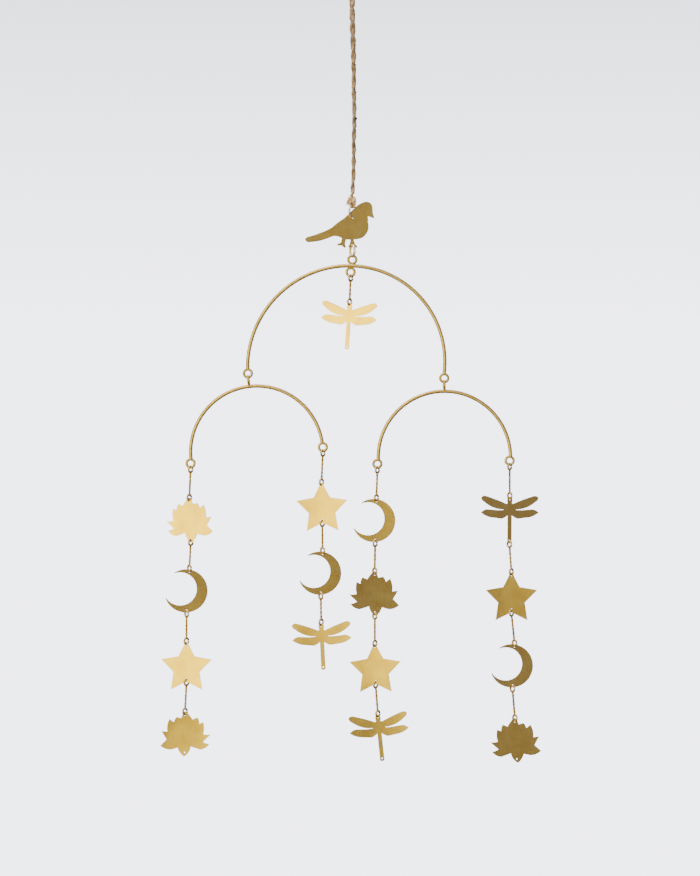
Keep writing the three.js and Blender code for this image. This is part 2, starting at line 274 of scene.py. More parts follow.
def newMaterial(name):
    # A material with only its shader and output, and its node tree and shader to work on.
    material = bpy.data.materials.new(name)
    material.use_nodes = True
    tree = material.node_tree
    tree.nodes.clear()
    shader = addNode(tree, "ShaderNodeBsdfPrincipled")
    addNode(tree, "ShaderNodeOutputMaterial", links={"Surface": shader.outputs["BSDF"]})
    return material, tree, shader


# Brass sheet, rolled, cut and brushed by hand: a soft gold glow with fine upright lines, and slow
# changes of brightness where the sheet isn't quite flat.
sheetValues = {
    "light": "#ffd066",
    "deep": "#e9b552",
    "tones": (0.45, 0.9),  # where the mix of lines and patches is deep, and where it is light
    "lineShare": 0.35,
    "patchSize": 11,
    "lineWidth": 0.35,  # real brush lines are about 0.05 mm: drawn wider, so that they show
    "lineLength": 14,
    "roughness": (0.26, 0.31),
    "lineHeight": 0.004,
    "waveSize": 23,
    "waveHeight": 0.34,
}


def makeBrushedBrassSheet(values):
    material, tree, shader = newMaterial("brushedBrassSheet")
    place = addNode(tree, "ShaderNodeTexCoord").outputs["Object"]
    acrossLines = 1 / (values["lineWidth"] * metre)
    alongLines = 1 / (values["lineLength"] * metre)
    stretched = addNode(
        tree, "ShaderNodeMapping", values={"Scale": (acrossLines, acrossLines, alongLines)},
        links={"Vector": place},
    )
    lines = addNode(
        tree, "ShaderNodeTexNoise", values={"Scale": 1.0, "Detail": 3.0, "Roughness": 0.6},
        links={"Vector": stretched.outputs["Vector"]},
    )
    patches = addNode(
        tree, "ShaderNodeTexNoise",
        values={"Scale": 1 / (values["patchSize"] * metre), "Detail": 3.0, "Roughness": 0.55},
        links={"Vector": place},
    )
    mixed = addNode(
        tree, "ShaderNodeMath", {"operation": "MULTIPLY_ADD"}, {1: values["lineShare"]},
        {0: lines.outputs["Fac"], 2: patches.outputs["Fac"]},
    )
    deepAt, lightAt = values["tones"]
    colour = addNode(
        tree, "ShaderNodeValToRGB",
        {"stops": [(deepAt, linear(values["deep"])), (lightAt, linear(values["light"]))]},
        links={"Fac": mixed.outputs["Value"]},
    )
    low, high = values["roughness"]
    rough = addNode(
        tree, "ShaderNodeMapRange", values={"To Min": low, "To Max": high},
        links={"Value": lines.outputs["Fac"]},
    )
    waves = addNode(
        tree, "ShaderNodeTexNoise",
        values={"Scale": 1 / (values["waveSize"] * metre), "Detail": 0.0},
        links={"Vector": place},
    )
    slowBump = addNode(
        tree, "ShaderNodeBump",
        values={"Strength": 1.0, "Distance": values["waveHeight"] * metre},
        links={"Height": waves.outputs["Fac"]},
    )
    bump = addNode(
        tree, "ShaderNodeBump",
        values={"Strength": 1.0, "Distance": values["lineHeight"] * metre},
        links={"Height": lines.outputs["Fac"], "Normal": slowBump.outputs["Normal"]},
    )
    shader.inputs["Metallic"].default_value = 1.0
    tree.links.new(colour.outputs["Color"], shader.inputs["Base Color"])
    tree.links.new(rough.outputs["Result"], shader.inputs["Roughness"])
    tree.links.new(bump.outputs["Normal"], shader.inputs["Normal"])
    return material


# The sheet's cut edge, left as the cutter made it: darker and duller than the face, so each plate
# shows a thin brown line where it turns away from the light.
edgeValues = {
    "light": "#c9933c", "deep": "#8a5c1e", "grain": 0.8, "roughness": 0.5, "dullRoughness": 0.6,
}

# Drawn brass wire, bent cold: slow changes of tone along it, a soft highlight and a deeper gold.
rodValues = {
    "light": "#f0c473", "deep": "#dcb062", "grain": 9, "roughness": 0.42, "dullRoughness": 0.5,
}

# Thin pale brass wire of the two large links: a brighter, cleaner yellow.
wireValues = {
    "light": "#fff0c4", "deep": "#ffe0a0", "grain": 4, "roughness": 0.4, "dullRoughness": 0.46,
}

# Brass wire of the small rings, handled and squeezed shut: a deeper, duller gold.
jumpValues = {
    "light": "#ecc478", "deep": "#c99e58", "grain": 2.5, "roughness": 0.45, "dullRoughness": 0.55,
}

# Fine chain, drawn and soldered link by link: deeper in tone, with brown in small random grains.
chainMetalValues = {
    "light": "#e6bd6e", "deep": "#bf9149", "grain": 1.2, "roughness": 0.5, "dullRoughness": 0.6,
}

# Brass solder at the brazed joints: a small matt blob, paler and uneven.
solderValues = {
    "light": "#f0c068", "deep": "#b98238", "grain": 0.6, "roughness": 0.42, "dullRoughness": 0.55,
    "streak": 0.6, "height": 0.05,
}


def makeWorkedBrass(name, values):
    # Two tones of brass in soft grains, rougher where it is deeper. The grain noise rarely leaves
    # these two ranges, so both tones and both roughnesses show.
    deepAt, lightAt = 0.35, 0.65
    roughFrom, roughTo = 0.3, 0.7
    material, tree, shader = newMaterial(name)
    place = addNode(tree, "ShaderNodeTexCoord").outputs["Object"]
    grains = addNode(
        tree, "ShaderNodeTexNoise",
        values={"Scale": 1 / (values["grain"] * metre), "Detail": 3.0, "Roughness": 0.6},
        links={"Vector": place},
    )
    colour = addNode(
        tree, "ShaderNodeValToRGB",
        {"stops": [(deepAt, linear(values["deep"])), (lightAt, linear(values["light"]))]},
        links={"Fac": grains.outputs["Fac"]},
    )
    rough = addNode(
        tree, "ShaderNodeMapRange",
        values={
            "From Min": roughFrom, "From Max": roughTo,
            "To Min": values["dullRoughness"], "To Max": values["roughness"],
        },
        links={"Value": grains.outputs["Fac"]},
    )
    shader.inputs["Metallic"].default_value = 1.0
    tree.links.new(colour.outputs["Color"], shader.inputs["Base Color"])
    tree.links.new(rough.outputs["Result"], shader.inputs["Roughness"])
    if "height" in values:
        streaks = addNode(
            tree, "ShaderNodeTexNoise",
            values={"Scale": 1 / (values["streak"] * metre), "Detail": 2.0},
            links={"Vector": place},
        )
        bump = addNode(
            tree, "ShaderNodeBump",
            values={"Strength": 1.0, "Distance": values["height"] * metre},
            links={"Height": streaks.outputs["Fac"]},
        )
        tree.links.new(bump.outputs["Normal"], shader.inputs["Normal"])
    return material


# Jute yarn, spun and plied: dry, hairy, with long strands in several straws and browns, and dark in
# the groove between the plies.
juteValues = {
    "dark": "#654a2c",
    "middle": "#9c7950",
    "light": "#c9aa7d",
    "tones": (0.58, 0.78, 1.0),  # where the mix of strands and patches takes each colour
    "plyGirth": 5,
    "strand": 0.22,  # width of a bundle of fibres
    "strandLength": 6,
    "patchSize": 3.5,
    "patchShare": 0.6,
    "roughness": 0.92,
    "specular": 0.3,
    "sheen": 0.25,
    "height": 0.12,
}

# Jute where the knot opens it out: loose, dry and paler.
openedJuteValues = {"dark": "#b0824a", "middle": "#dcb071", "light": "#f6d9a0"}

# Bits of bark left in the yarn: small, hard and dark.
barkyJuteValues = {"dark": "#3f2c18", "middle": "#5c4227", "light": "#7d5d3a"}


def makeJuteYarn(name, values):
    # Long bundles of fibres that follow the ply, over slow patches of tone.
    material, tree, shader = newMaterial(name)
    along = addNode(tree, "ShaderNodeUVMap", {"uv_map": "alongAndRound"})
    # V runs once round a ply, so this many bundles of fibres lie round it.
    bundles = values["plyGirth"] / values["strand"]
    stretched = addNode(
        tree, "ShaderNodeMapping", values={"Scale": (1 / values["strandLength"], bundles, 1.0)},
        links={"Vector": along.outputs["UV"]},
    )
    strands = addNode(
        tree, "ShaderNodeTexNoise", values={"Scale": 1.0, "Detail": 4.0, "Roughness": 0.65},
        links={"Vector": stretched.outputs["Vector"]},
    )
    objectPlace = addNode(tree, "ShaderNodeTexCoord").outputs["Object"]
    patches = addNode(
        tree, "ShaderNodeTexNoise",
        values={"Scale": 1 / (values["patchSize"] * metre), "Detail": 2.0},
        links={"Vector": objectPlace},
    )
    mixed = addNode(
        tree, "ShaderNodeMath", {"operation": "MULTIPLY_ADD"}, {1: values["patchShare"]},
        {0: patches.outputs["Fac"], 2: strands.outputs["Fac"]},
    )
    colour = addNode(
        tree, "ShaderNodeValToRGB",
        {"stops": [
            (place, linear(values[tone]))
            for place, tone in zip(values["tones"], ("dark", "middle", "light"))
        ]},
        links={"Fac": mixed.outputs["Value"]},
    )
    bump = addNode(
        tree, "ShaderNodeBump",
        values={"Strength": 1.0, "Distance": values["height"] * metre},
        links={"Height": strands.outputs["Fac"]},
    )
    shader.inputs["Roughness"].default_value = values["roughness"]
    shader.inputs["Specular IOR Level"].default_value = values["specular"]
    shader.inputs["Sheen Weight"].default_value = values["sheen"]
    tree.links.new(colour.outputs["Color"], shader.inputs["Base Color"])
    tree.links.new(bump.outputs["Normal"], shader.inputs["Normal"])
    return material


brushedBrassSheet = makeBrushedBrassSheet(sheetValues)
cutBrassEdge = makeWorkedBrass("cutBrassEdge", edgeValues)
drawnBrassWire = makeWorkedBrass("drawnBrassWire", rodValues)
paleBrassWire = makeWorkedBrass("paleBrassWire", wireValues)
squeezedBrassWire = makeWorkedBrass("squeezedBrassWire", jumpValues)
brassSolder = makeWorkedBrass("brassSolder", solderValues)
fineChainBrass = makeWorkedBrass("fineChainBrass", chainMetalValues)
juteYarn = makeJuteYarn("juteYarn", juteValues)
openedJute = makeJuteYarn("openedJute", {**juteValues, **openedJuteValues})
barkyJute = makeJuteYarn("barkyJute", {**juteValues, **barkyJuteValues})
print("materials made")

# Sizes that several pieces share.

archWire = 2.4
ringWire = 1.35
ringRadius = 3.45  # of the rings brazed to the arches, to the middle of the wire
jumpWire = 1.0
jumpRadius = 2.6
linkWire = 1.05
linkRadius = 4.85  # of the two large links above and below the bird
ringWider = 0.8  # brazed rings are drawn this much thicker, mostly inwards, so that they show
brazing = 0.3  # how far a brazed ring sinks into the arch
plateThickness = 0.6
holeRadius = 0.95
footHoleRadius = 0.8
play = 0.05  # air between pieces that bear on each other
birdHole = Vector((0.6, 0, -222.3))
backLinkTurn = 54
footLinkTurn = -68

# Jute twine.

twineValues = {
    "diameter": 3.0,
    # Heights, and how wide the two plies are drawn there at their widest, so that they show.
    "thickness": [(-26, 4.9), (-82, 4.8), (-100, 4.1), (-150, 3.8), (-206, 3.5)],
    "plyRadius": 1.02,
    "plySides": 9,
    "plyLay": 13,  # length of one full turn of the two plies
    "layWander": 0.16,
    "lumps": 0.34,  # how far the plies swell and thin
    "lumpRate": 0.32,  # swellings for each millimetre
    "layRate": 0.4,  # changes of lay for each swelling
    # Height, place beside the middle, and size of each bit of bark.
    "bark": [(-100, 1.5, 0.8), (-121.6, 1.5, 0.9), (-143, 1.7, 0.9), (-198.4, -1.5, 0.8)],
    "hairs": 2.6,  # loose fibres for each millimetre
    "hairLength": (1.2, 3.4),
    "hairReach": 3.7,  # how far they stand out from the middle of the twine
    "hairRadius": 0.05,  # real ones are about 0.02 mm: drawn thicker, so that they show
    "hairLift": (0.1, 0.55),  # how steeply they leave the twine
    "hairBend": 0.35,
    "frayed": {"at": (-2.4, -0.6, -0.4), "fibres": 46, "length": (1.6, 3.6), "thicker": 1.8},
    "route": [
        (0, -28.6), (0, -40), (0.1, -52), (0.3, -64), (0.6, -76), (1.1, -88), (1.3, -100),
        (1.4, -112), (1.5, -124), (1.9, -136), (1.8, -148), (1.5, -160), (1.5, -172), (1.3, -184),
        (0.9, -194), (0.5, -203.2),
    ],
    "loop": [(0.8, -21), (3.6, -16), (6, -8), (4.4, -1.6), (0, 1.5)],
    "loopShare": 0.97,  # the loop's diameter as a share of the twine's
    "upperKnot": (0, -24),
    "lowerKnot": (-0.2, -209.2),
    "knotReach": (0.9, 1.5, 1.2),  # how far its turns go sideways, in depth and upright
    "knotTwine": 3.2,
    "eyeTwine": 2.0,
    "eyeRadius": 2.0,
    "seed": 7,
}
twineStep = 0.7  # spacing of the points along the twine


def addRope(parts, path, diameters, values, rng, closed=False, hairShare=1.0, slot=0):
    # Two plies wound round the path, with lumps, and loose hairs that stand off them. The lumps are
    # read from noise, far apart for the two plies, or on a circle where the rope is closed.
    pliesApart, circle = 20, 3
    frames = alongFrames(path, closed)
    scales = [diameter / values["diameter"] for diameter in diameters]
    length = pathLength(path)
    turns = length / (values["plyLay"] * scales[0])
    if closed:
        turns = round(turns)
    seedShift = rng.uniform(0, 90)
    for ply in range(2):
        line, radii = [], []
        for i, (side, up) in enumerate(frames):
            share = i / (len(path) if closed else len(path) - 1)
            place = Vector((share * length * values["lumpRate"], seedShift + pliesApart * ply, 0))
            if closed:
                around = fullTurn * share
                place = Vector((circle * math.cos(around), circle * math.sin(around), seedShift))
            wander = values["layWander"] * noise.noise(place * values["layRate"])
            angle = fullTurn * (turns * share + ply / 2 + wander)
            plyRadius = values["plyRadius"] * scales[i]
            reach = diameters[i] / 2 - plyRadius
            line.append(path[i] + reach * (math.cos(angle) * side + math.sin(angle) * up))
            radii.append(plyRadius * (1 + values["lumps"] * noise.noise(place)))
        parts.tube(line, radii, values["plySides"], slot=slot, closed=closed)
    hairs = round(length * values["hairs"] * hairShare)
    addHairs(parts, path, diameters, frames, hairs, values, rng, slot)


def addHairs(parts, path, diameters, frames, hairs, values, rng, slot):
    # Loose fibres that leave the twine either way along it, kept short enough for hairReach.
    low, high = values["hairLength"]
    flattest, steepest = values["hairLift"]
    thin = values["hairRadius"]
    for _ in range(hairs):
        i = rng.randrange(1, len(path) - 1)
        side, up = frames[i]
        tangent = (path[i + 1] - path[i - 1]).normalized()
        angle = rng.uniform(0, fullTurn)
        outward = math.cos(angle) * side + math.sin(angle) * up
        rootReach = 0.4 * diameters[i]
        length = min(rng.uniform(low, high), 1.1 * (values["hairReach"] - rootReach))
        way = (tangent * rng.choice((-1, 1)) + outward * rng.uniform(flattest, steepest)).normalized()
        bend = Vector([rng.uniform(-1, 1) for _ in range(3)]) * values["hairBend"]
        start = path[i] + outward * rootReach
        line = [start + way * length * t + bend * length * t * t for t in (0, 0.35, 0.7, 1)]
        parts.tube(line, [thin, thin, thin * 0.8, thin * 0.4], 3, slot=slot, capped=False)


def thicknessAt(height, rows):
    # The twine's drawn diameter at a height, between the rows of (height, diameter).
    for (upper, thick), (lower, thin) in zip(rows, rows[1:]):
        if height >= lower:
            share = min(1, (upper - height) / (upper - lower))
            return thick + (thin - thick) * max(0, share)
    return rows[-1][1]


def addKnot(parts, x, z, values, rng, slot=0):
    # An overhand knot drawn tight, a little wider below, round the twine that runs through it.
    steps = 48
    across, deep, high = values["knotReach"]
    points = []
    for i in range(steps):
        t = fullTurn * i / steps
        lift = math.cos(t) - 2 * math.cos(2 * t)
        spread = 1 - 0.1 * lift
        points.append(Vector((
            x + across * spread * (math.sin(t) + 2 * math.sin(2 * t)),
            -deep * spread * math.sin(3 * t),
            z + high * lift,
        )))
    wound = smoothPath(points, 0.5, closed=True)
    diameters = [values["knotTwine"]] * len(wound)
    addRope(parts, wound, diameters, values, rng, closed=True, hairShare=2.2, slot=slot)
    middle = [Vector((x + aside, 0, z + up)) for aside, up in ((0, 5.6), (0.2, 1), (0, -3.4))]
    through = smoothPath(middle, twineStep)
    addRope(parts, through, [values["diameter"]] * len(through), values, rng)


def pathLength(path):
    return sum((path[i] - path[i - 1]).length for i in range(1, len(path)))


def makeTwine(values):
    rng = random.Random(values["seed"])
    route = [Vector((x, 0, z)) for x, z in values["route"]]
    path = smoothPath(route, twineStep)
    cordParts = MeshParts()
    addRope(cordParts, path, [thicknessAt(p.z, values["thickness"]) for p in path], values, rng)
    for z, aside, size in values["bark"]:
        gaps = [abs(p.z - z) for p in path]
        nearest = path[gaps.index(min(gaps))]
        addBlob(cordParts, nearest + Vector((aside, -0.5, 0)), (size * 0.8, size * 0.8, size), 1, z)
    cord = hand(cordParts.make("juteCord", [juteYarn, barkyJute]), "jute", "jute_cord")

    right = [Vector((x, 0, z)) for x, z in values["loop"]]
    loop = right + [Vector((-p.x, 0, p.z)) for p in reversed(right[:-1])]
    loopParts = MeshParts()
    loopPath = smoothPath(loop, twineStep)
    diameters = [values["diameter"] * values["loopShare"]] * len(loopPath)
    addRope(loopParts, loopPath, diameters, values, rng)
    addKnot(loopParts, *values["upperKnot"], values, rng)
    top = hand(loopParts.make("juteLoop", [juteYarn]), "jute", "hanging_loop")

    knotParts = MeshParts()
    knotX, knotZ = values["lowerKnot"]
    addKnot(knotParts, knotX, knotZ, values, rng, slot=1)
    cutEnd = Vector((knotX, 0, knotZ)) + Vector(values["frayed"]["at"])
    addFrayedEnd(knotParts, cutEnd, values, rng)
    addEye(knotParts, values, rng)
    bottom = hand(knotParts.make("juteKnot", [juteYarn, openedJute]), "jute", "lower_knot")


def addFrayedEnd(parts, start, values, rng):
    # The cut end of the twine, opened out into its fibres, which point left and a little down.
    frayed = values["frayed"]
    thin = values["hairRadius"] * frayed["thicker"]
    for _ in range(frayed["fibres"]):
        way = Vector((-1, rng.uniform(-0.7, 0.5), rng.uniform(-1.1, 0.35))).normalized()
        length = rng.uniform(*frayed["length"])
        root = start + Vector((rng.uniform(0, 1), rng.uniform(-0.7, 0.7), rng.uniform(-0.8, 0.8)))
        droop = Vector((0, 0, -rng.uniform(0, 0.9)))
        line = [root + way * length * t + droop * t * t for t in (0, 0.4, 0.75, 1)]
        parts.tube(line, [thin, thin, thin * 0.9, thin * 0.5], 3, slot=1, capped=False)


def addEye(parts, values, rng):
    # The small eye below the knot, round the link's wire and square to it.
    steps = 24
    twine, radius = values["eyeTwine"], values["eyeRadius"]
    wireTop = birdHole.z + holeRadius - linkWire / 2 - play + 2 * linkRadius
    centre = Vector((birdHole.x, 0, wireTop - linkWire / 2 - play - twine / 2 + radius))
    circle = ringPath(radius, backLinkTurn - 90, centre, steps)
    addRope(parts, circle, [twine] * steps, values, rng, closed=True, hairShare=0.5, slot=1)


makeTwine(twineValues)
print("twine made")

# Rings and links.


def addRing(parts, radius, wire, turn, centre, slot=0, gap=0.0, sides=12, steps=40, wider=ringWider):
    # A ring of round wire. Where it is drawn wider, it grows inwards more than outwards.
    path = ringPath(radius - wider / 3, turn, centre, steps, gap)
    parts.tube(path, (wire + wider) / 2, sides, slot=slot, closed=not gap)


# The gap is the joint where each large link was closed. Both are drawn wider than they are.
linkValues = {"gap": 5, "backWider": 0.5, "footWider": 0.9}


def makeLargeLinks(values):
    # Makes both links, and gives the point that the large arch hangs from.
    backZ = birdHole.z + holeRadius - linkWire / 2 - play
    backCentre = Vector((birdHole.x, 0, backZ + linkRadius))
    parts = MeshParts()
    addRing(
        parts, linkRadius, linkWire, backLinkTurn, backCentre,
        gap=values["gap"], wider=values["backWider"],
    )
    hand(parts.make("backLink", [paleBrassWire]), "brass_wire", "back_link")

    foot = birdMatrix @ Vector((birdValues["foot"][0], 0, birdValues["foot"][1]))
    footZ = foot.z - footHoleRadius + linkWire / 2 + play
    footCentre = Vector((foot.x, foot.y, footZ - linkRadius))
    parts = MeshParts()
    addRing(
        parts, linkRadius, linkWire, footLinkTurn, footCentre,
        gap=values["gap"], wider=values["footWider"],
    )
    hand(parts.make("footLink", [paleBrassWire]), "brass_wire", "foot_link")
    archRise = linkWire / 2 + ringWire / 2 + play
    return Vector((foot.x, 0, footCentre.z - linkRadius + archRise))


# Cut plates.


def outlineOf(corners, stepsInCurve=8):
    # A closed outline from (x, z, bulge) corners: the edge after a corner swells out by its bulge.
    points = []
    for i, (x, z, *rest) in enumerate(corners):
        bulge = rest[0] if rest else 0
        nextX, nextZ = corners[(i + 1) % len(corners)][:2]
        if not bulge:
            points.append((x, z))
            continue
        length = math.hypot(nextX - x, nextZ - z)
        middleX = (x + nextX) / 2 + 2 * bulge * (nextZ - z) / length
        middleZ = (z + nextZ) / 2 - 2 * bulge * (nextX - x) / length
        for k in range(stepsInCurve):
            t = k / stepsInCurve
            points.append((
                (1 - t) ** 2 * x + 2 * t * (1 - t) * middleX + t * t * nextX,
                (1 - t) ** 2 * z + 2 * t * (1 - t) * middleZ + t * t * nextZ,
            ))
    return points


def mirrored(corners):
    # The same corners on the other side. A bulge belongs to the edge after its corner.
    turned = []
    for i, (x, z, *_) in enumerate(corners):
        before = corners[i - 1] if i else (0, 0)
        turned.append((-x, z, before[2] if len(before) > 2 else 0))
    return list(reversed(turned))


def starCorners(tipRadius=20.9, innerRadius=10.8, eyeRound=1.7):
    # A star of five points, whose top one is rounded off round its hole.
    corners = []
    for i in range(10):
        angle = math.radians(90 + 36 * i)
        radius = innerRadius if i % 2 else tipRadius
        corners.append((radius * math.cos(angle), radius * math.sin(angle)))
    shoulder = tipRadius - 2.4
    corners[0:1] = [(-eyeRound * 0.62, shoulder + 1.4), (-eyeRound, shoulder - 0.6)]
    corners += [(eyeRound, shoulder - 0.6), (eyeRound * 0.62, shoulder + 1.4, 0.35)]
    return corners


def moonCorners(outer=17, inner=13.55, innerX=-4.76, innerZ=1.16, blunt=0.02, steps=56):
    # A circle with a smaller one cut out of it. The horn tips are cut blunt.
    apart = math.hypot(innerX, innerZ)
    along = (apart ** 2 + outer ** 2 - inner ** 2) / (2 * apart)
    opening = math.atan2(innerZ, innerX)
    halfOuter = math.acos(along / outer) + blunt
    halfInner = math.acos((along - apart) / inner) + blunt
    corners = []
    for i in range(steps + 1):
        angle = opening + halfOuter + (fullTurn - 2 * halfOuter) * i / steps
        corners.append((outer * math.cos(angle), outer * math.sin(angle)))
    for i in range(steps + 1):
        angle = opening - halfInner - (fullTurn - 2 * halfInner) * i / steps
        corners.append((innerX + inner * math.cos(angle), innerZ + inner * math.sin(angle)))
    return corners


lotusCorners = [
    (0.3, 0, 0.5), (4.1, 4.8), (4.8, 7.8), (12.7, 5.6, 0.9), (19.3, 9.6, -0.3), (14.1, 11.3),
    (19.8, 17.1, -0.3), (14.3, 17.4, 0.7), (14.2, 26.8), (10.9, 25, 0.6), (9.5, 30.4),
    (5.8, 28.6, 0.2), (1, 34.5, 0.4), (-1, 34.5, 0.2), (-2.9, 29.6), (-6.8, 30.4, 0.5),
    (-8.6, 25.8), (-12.4, 28.5, 0.9), (-13.5, 18.4), (-18, 18.7), (-14, 12.5),
    (-18.7, 7.5, 0.9), (-10.4, 4.9), (-5.2, 6.6), (-4.4, 4.8, 0.4), (-0.5, 0),
]

tailEnd = -34.9
dragonflyRight = [
    (1.4, tailEnd + 0.6), (1.4, -12.8), (1.9, -12.5, 0.3), (6.6, -15.2), (16.2, -14, 0.4),
    (23.2, -10.5, 0.4), (18.8, -8.2), (10.1, -8.9), (4.8, -8.8), (4.8, -7.7), (8.8, -7.5, 1),
    (21.1, -1.5, 0.5), (23.2, 1.4, 0.6), (19.5, 2.4, 0.3), (2.5, -4), (1.4, -3.1), (1.8, -1.2, 0.2),
    (1.2, 1.6, 0.15),
]

# Each plate's outline, its top and bottom holes, and its crown, which is how far its sides are bent
# towards the viewer.
plateValues = {
    "star": {"corners": starCorners(), "holes": [(0, 18.3), (0, -8.8)], "crown": 0.25},
    "moon": {"corners": moonCorners(), "holes": [(1.3, 15.3), (2, -15.3)], "crown": 0.2},
    "lotus": {"corners": lotusCorners, "holes": [(-0.25, 32.4), (0.5, 2.5)], "crown": 0.25},
    "dragonfly": {
        "corners": [(0, tailEnd)] + dragonflyRight + mirrored(dragonflyRight),
        "holes": [(0, 0), (0, -32.9)], "crown": 0.3,
    },
}

birdValues = {
    "turn": -3,
    "foot": (-0.3, -21.3),
    "crown": 0.15,
    "corners": [
        (16.9, 0.1), (15.8, 4), (15.6, 8.3, 0.4), (13.5, 12, 0.2), (10.6, 12.7, 0.5),
        (3.7, 9.5, 0.1), (-6.5, -0.4, 0.3), (-16.7, -8.1, -0.3), (-26.9, -12.7, -0.2),
        (-36.1, -15.7, 0.1), (-37.9, -17.2, 0.3), (-36.1, -19.3, 0.2), (-26.9, -18.3, 0.2),
        (-17.8, -15.2, -0.3), (-13.7, -14.3, -0.4), (-8.3, -16.2), (-9.1, -20), (-12.1, -21.2, 0.3),
        (-11.6, -21.8), (-8.4, -21.9), (-6.7, -23.7, 0.2), (-5.9, -23.1), (-6.5, -20.6),
        (-5.8, -17.2, -0.2), (-1.4, -17.3), (-1.5, -18.9, 0.2), (-2, -21.2), (-3.2, -22.6, 0.2),
        (-2.6, -23.4), (-0.5, -23), (0.8, -23), (2.6, -23.4, 0.2), (3.2, -22.9), (1.4, -20.8, 0.2),
        (0.6, -18.9), (0.5, -17, 0.2), (6.7, -16, 0.6), (11.6, -10.9, 0.7), (11.8, -3.2, 0.3),
        (11.6, 1.6), (13.4, 1.4),
    ],
}

# The pale background shines over thin edges, so the sheet is drawn a little wider than it is, and
# its holes smaller. It is cut into cells, so that it can bend.
sheetCut = {"bevel": 0.12, "cell": 3.5, "holeSides": 20, "drawnWider": 0.36, "sharpAngle": 30}

# Crown and twist are measured at these reaches from a plate's hole. Each plate's crown is a random
# share of its shape's, and its twist is random up to this much.
bendValues = {"acrossAt": 18, "uprightAt": 25, "crownShare": (0.6, 1.3), "twist": 0.25, "birdAt": 30}


def insetLoop(points, amount):
    # Moves an anticlockwise loop inwards, or outwards by an amount below nothing.
    moved = []
    count = len(points)
    for i, (x, z) in enumerate(points):
        beforeX, beforeZ = points[i - 1]
        afterX, afterZ = points[(i + 1) % count]
        inX, inZ = x - beforeX, z - beforeZ
        outX, outZ = afterX - x, afterZ - z
        inLength, outLength = math.hypot(inX, inZ) or 1, math.hypot(outX, outZ) or 1
        normalX = -inZ / inLength - outZ / outLength
        normalZ = inX / inLength + outX / outLength
        size = math.hypot(normalX, normalZ)
        if size < smallest:
            moved.append((x, z))
            continue
        stretch = min(2 / size, 3)  # a sharp corner moves further in
        moved.append((x + normalX / size * amount * stretch, z + normalZ / size * amount * stretch))
    return moved


def cutIntoCells(edited, axis, places):
    # Cuts the whole sheet across one axis in even steps.
    low, high = min(places), max(places)
    count = max(1, round((high - low) / sheetCut["cell"]))
    for i in range(1, count):
        cut = low + (high - low) * i / count
        everything = edited.verts[:] + edited.edges[:] + edited.faces[:]
        bmesh.ops.bisect_plane(edited, geom=everything, plane_co=Vector(axis) * cut, plane_no=axis)


def plateMesh(name, corners, holes, bendOf, matrix):
    # Sheet cut to the outline with round holes and slightly broken edges, placed by its matrix.
    half, bevel = plateThickness / 2, sheetCut["bevel"]
    outer = insetLoop(outlineOf(corners), -sheetCut["drawnWider"])
    loops = [outer]
    for x, z, radius in holes:
        circle = []
        for i in range(sheetCut["holeSides"]):
            angle = -fullTurn * i / sheetCut["holeSides"]
            reach = radius - sheetCut["drawnWider"]
            circle.append((x + reach * math.cos(angle), z + reach * math.sin(angle)))
        loops.append(circle)
    edited = bmesh.new()
    caps = {-1: [], 1: []}
    for points in loops:
        inner = insetLoop(points, bevel)
        rows = []
        levels = ((-half, inner), (-half + bevel, points), (half - bevel, points), (half, inner))
        for level, source in levels:
            rows.append([edited.verts.new((x, level, z)) for x, z in source])
        for side, row in ((-1, rows[0]), (1, rows[3])):
            for i, vert in enumerate(row):
                caps[side].append(edited.edges.new((vert, row[(i + 1) % len(row)])))
        for upper, lower in zip(rows, rows[1:]):
            for i in range(len(upper)):
                after = (i + 1) % len(upper)
                face = edited.faces.new((upper[i], upper[after], lower[after], lower[i]))
                face.material_index = 1
    for side in (-1, 1):
        bmesh.ops.triangle_fill(edited, edges=caps[side], use_beauty=True, use_dissolve=False)
    cutIntoCells(edited, (1, 0, 0), [x for x, _ in outer])
    cutIntoCells(edited, (0, 0, 1), [z for _, z in outer])
    bmesh.ops.recalc_face_normals(edited, faces=edited.faces[:])
    for vert in edited.verts:
        vert.co.y += bendOf(vert.co.x, vert.co.z)
    topX, topZ = holes[0][:2]
    place = Matrix.Scale(metre, 4) @ matrix @ Matrix.Translation((-topX, 0, -topZ))
    bmesh.ops.transform(edited, matrix=place, verts=edited.verts[:])
    mesh = bpy.data.meshes.new(name)
    edited.to_mesh(mesh)
    edited.free()
    mesh.materials.append(brushedBrassSheet)
    mesh.materials.append(cutBrassEdge)
    return finishObject(name, mesh, sheetCut["sharpAngle"])


def makeBird(values):
    holes = [(0, 0, holeRadius), (*values["foot"], footHoleRadius)]

    def bend(x, z):
        return -values["crown"] * (x / bendValues["birdAt"]) ** 2

    piece = plateMesh("brassBird", values["corners"], holes, bend, birdMatrix)
    hand(piece, "brass_sheet", "bird")


birdTurn = Matrix.Rotation(math.radians(-birdValues["turn"]), 4, "Z")
birdMatrix = Matrix.Translation(birdHole) @ birdTurn
makeBird(birdValues)
hangPoint = makeLargeLinks(linkValues)
print("bird and links made")

# Wire arches.

